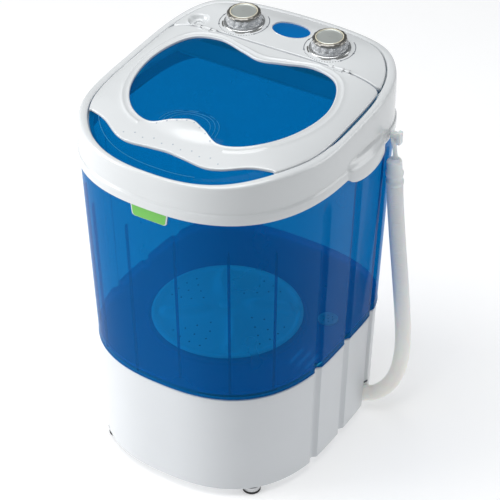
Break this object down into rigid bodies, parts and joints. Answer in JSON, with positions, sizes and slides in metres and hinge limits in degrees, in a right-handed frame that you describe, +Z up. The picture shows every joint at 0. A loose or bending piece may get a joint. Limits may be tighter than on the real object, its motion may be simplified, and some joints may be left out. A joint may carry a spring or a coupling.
{
  "type": "top load washing machine",
  "caption": "Small single-tub top-load washing machine with a hinged see-through lid, two timer knobs, a pulsator and a side drain hose.",
  "frame": {"origin": "on the floor, under the middle of the cabinet", "axes": "+X to the machine's right as seen from the front, -Y to the front, +Z up"},
  "size_m": [0.3945, 0.398, 0.5676],
  "materials": {
    "white_plastic": "glossy moulded white",
    "blue_plastic": "clear tinted, glossy",
    "green_plastic": "glossy label",
    "silver_trim": "plated trim",
    "clear_plastic": "clear, fluted",
    "steel": "plain",
    "rubber": "matt black",
    "hose_plastic": "milky, corrugated",
    "dark_plastic": "matt dark",
    "cream_plastic": "matt cream"
  },
  "bodies": {
    "cabinet": {"base_housing": "white_plastic", "base_plate": "white_plastic", "foot_front_left": "steel", "foot_front_right": "steel", "foot_rear_left": "steel", "foot_rear_right": "steel", "foot_pad_front_left": "rubber", "foot_pad_front_right": "rubber", "foot_pad_rear_left": "rubber", "foot_pad_rear_right": "rubber", "tub": "blue_plastic", "drain_strainer": "white_plastic", "top_collar": "white_plastic", "hinge_pin_left": "steel", "hinge_pin_right": "steel", "control_panel": "white_plastic", "panel_lens": "blue_plastic", "water_inlet": "white_plastic", "control_tray": "white_plastic", "wash_timer": "cream_plastic", "wash_dial_ring": "silver_trim", "spin_timer": "cream_plastic", "spin_dial_ring": "silver_trim", "shaft_seal": "rubber", "bearing_housing": "cream_plastic", "motor": "steel", "motor_bracket": "steel", "drive_belt": "rubber", "capacitor": "dark_plastic", "terminal_block": "cream_plastic", "cable_gland": "dark_plastic", "drain_pipe": "cream_plastic", "drain_hose": "hose_plastic", "hose_cuff": "hose_plastic", "hose_strap": "hose_plastic", "front_badge": "green_plastic", "hose_clip": "white_plastic"},
    "lid": {"lid_frame": "white_plastic", "lid_pane": "blue_plastic"},
    "wash_knob": {"wash_spindle": "steel", "wash_knob_skirt": "clear_plastic", "wash_knob_rim": "silver_trim", "wash_knob_cap": "silver_trim"},
    "spin_knob": {"spin_spindle": "steel", "spin_knob_skirt": "clear_plastic", "spin_knob_rim": "silver_trim", "spin_knob_cap": "silver_trim"},
    "agitator": {"pulsator": "white_plastic", "pulsator_cap": "white_plastic", "drive_shaft": "steel", "drive_pulley": "dark_plastic"},
    "rotor": {"motor_shaft": "steel", "motor_pulley": "dark_plastic"}
  },
  "joints": [
    {"name": "lid_hinge", "type": "hinge", "parent": "cabinet", "child": "lid", "pos_m": [0, 0.095, 0.5424], "axis": [-1, 0, 0], "range_deg": [0, 95]},
    {"name": "wash_knob_turn", "type": "hinge", "parent": "cabinet", "child": "wash_knob", "pos_m": [-0.065, 0.131, 0.5463], "axis": [0, 0.0857, -0.9963], "range_deg": [0, 300]},
    {"name": "spin_knob_turn", "type": "hinge", "parent": "cabinet", "child": "spin_knob", "pos_m": [0.065, 0.131, 0.5463], "axis": [0, 0.0857, -0.9963], "range_deg": [0, 300]},
    {"name": "pulsator_spin", "type": "hinge", "parent": "cabinet", "child": "agitator", "pos_m": [0, -0.013, 0.18], "axis": [0, 0, 1], "continuous": true},
    {"name": "motor_spin", "type": "hinge", "parent": "cabinet", "child": "rotor", "pos_m": [0, 0.095, 0.1], "axis": [0, 0, 1], "continuous": true}
  ],
  "couplings": [
    {"joint": "motor_spin", "follows": "pulsator_spin", "ratio": 3.75}
  ]
}
